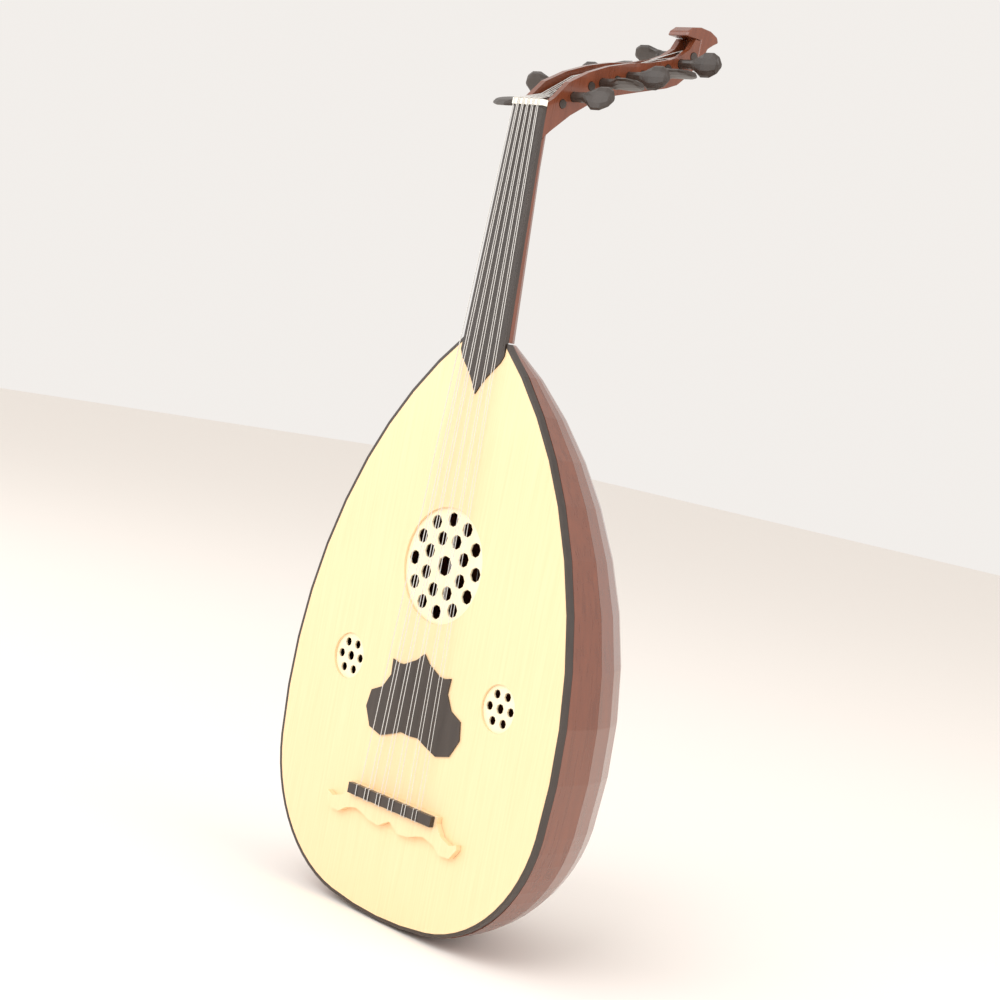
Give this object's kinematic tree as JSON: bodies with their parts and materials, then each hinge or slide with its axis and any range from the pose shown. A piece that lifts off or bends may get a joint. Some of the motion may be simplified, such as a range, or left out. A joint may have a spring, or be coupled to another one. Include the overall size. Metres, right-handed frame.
{
  "type": "turkish_oud",
  "caption": "Turkish oud: a pear-shaped fretless lute with a deep ribbed mahogany bowl, pale soundboard with carved roses, bent-back pegbox and ebony friction pegs",
  "frame": {"origin": "middle of the nut's front edge, in the plane of the soundboard's face", "axes": "+Z along the neck towards the pegbox, +X to the treble side as the player's audience sees it, +Y from the soundboard into the bowl"},
  "size_m": [0.3482, 0.2016, 0.7936],
  "materials": {
    "spruce": "satin varnish",
    "mahogany": "gloss varnish",
    "ebony": "satin",
    "cream_wood": "matte",
    "bone": "satin",
    "string": "gloss"
  },
  "bodies": {
    "body": {"bridge": "spruce", "bridge_tie_bar": "ebony", "cheek_left": "mahogany", "cheek_right": "mahogany", "edge_binding": "ebony", "fingerboard": "ebony", "finial": "mahogany", "neck": "mahogany", "neck_block": "spruce", "nut": "bone", "pegbox_back": "mahogany", "pegbox_joint_block": "mahogany", "pickguard": "ebony", "rib_01": "mahogany", "rib_02": "mahogany", "rib_03": "mahogany", "rib_04": "mahogany", "rib_05": "mahogany", "rib_06": "mahogany", "rib_07": "mahogany", "rib_08": "mahogany", "rib_09": "mahogany", "rib_10": "mahogany", "rib_11": "mahogany", "rib_12": "mahogany", "rib_13": "mahogany", "rib_14": "mahogany", "rib_15": "mahogany", "rib_16": "mahogany", "rib_17": "mahogany", "rim_lining": "spruce", "rose_large": "cream_wood", "rose_left": "cream_wood", "rose_right": "cream_wood", "soundboard": "spruce", "string_01": "string", "string_02": "string", "string_03": "string", "string_04": "string", "string_05": "string", "string_06": "string", "string_07": "string", "string_08": "string", "string_09": "string", "string_10": "string", "string_11": "string", "tail_block": "spruce"},
    "peg_01_body": {"peg_01": "ebony"},
    "peg_02_body": {"peg_02": "ebony"},
    "peg_03_body": {"peg_03": "ebony"},
    "peg_04_body": {"peg_04": "ebony"},
    "peg_05_body": {"peg_05": "ebony"},
    "peg_06_body": {"peg_06": "ebony"},
    "peg_07_body": {"peg_07": "ebony"},
    "peg_08_body": {"peg_08": "ebony"},
    "peg_09_body": {"peg_09": "ebony"},
    "peg_10_body": {"peg_10": "ebony"},
    "peg_11_body": {"peg_11": "ebony"}
  },
  "joints": [
    {"name": "peg_01_turn", "type": "hinge", "parent": "body", "child": "peg_01_body", "pos_m": [0, 0.0187, 0.0058], "axis": [-1, 0, 0], "continuous": true},
    {"name": "peg_02_turn", "type": "hinge", "parent": "body", "child": "peg_02_body", "pos_m": [0, 0.0303, 0.0141], "axis": [1, 0, 0], "continuous": true},
    {"name": "peg_03_turn", "type": "hinge", "parent": "body", "child": "peg_03_body", "pos_m": [0, 0.0478, 0.027], "axis": [-1, 0, 0], "continuous": true},
    {"name": "peg_04_turn", "type": "hinge", "parent": "body", "child": "peg_04_body", "pos_m": [0, 0.0603, 0.0322], "axis": [1, 0, 0], "continuous": true},
    {"name": "peg_05_turn", "type": "hinge", "parent": "body", "child": "peg_05_body", "pos_m": [0, 0.0769, 0.0385], "axis": [-1, 0, 0], "continuous": true},
    {"name": "peg_06_turn", "type": "hinge", "parent": "body", "child": "peg_06_body", "pos_m": [0, 0.0903, 0.0445], "axis": [1, 0, 0], "continuous": true},
    {"name": "peg_07_turn", "type": "hinge", "parent": "body", "child": "peg_07_body", "pos_m": [0, 0.106, 0.0495], "axis": [-1, 0, 0], "continuous": true},
    {"name": "peg_08_turn", "type": "hinge", "parent": "body", "child": "peg_08_body", "pos_m": [0, 0.1203, 0.0547], "axis": [1, 0, 0], "continuous": true},
    {"name": "peg_09_turn", "type": "hinge", "parent": "body", "child": "peg_09_body", "pos_m": [0, 0.135, 0.0615], "axis": [-1, 0, 0], "continuous": true},
    {"name": "peg_10_turn", "type": "hinge", "parent": "body", "child": "peg_10_body", "pos_m": [0, 0.1503, 0.0692], "axis": [1, 0, 0], "continuous": true},
    {"name": "peg_11_turn", "type": "hinge", "parent": "body", "child": "peg_11_body", "pos_m": [0, 0.1641, 0.0787], "axis": [-1, 0, 0], "continuous": true}
  ]
}
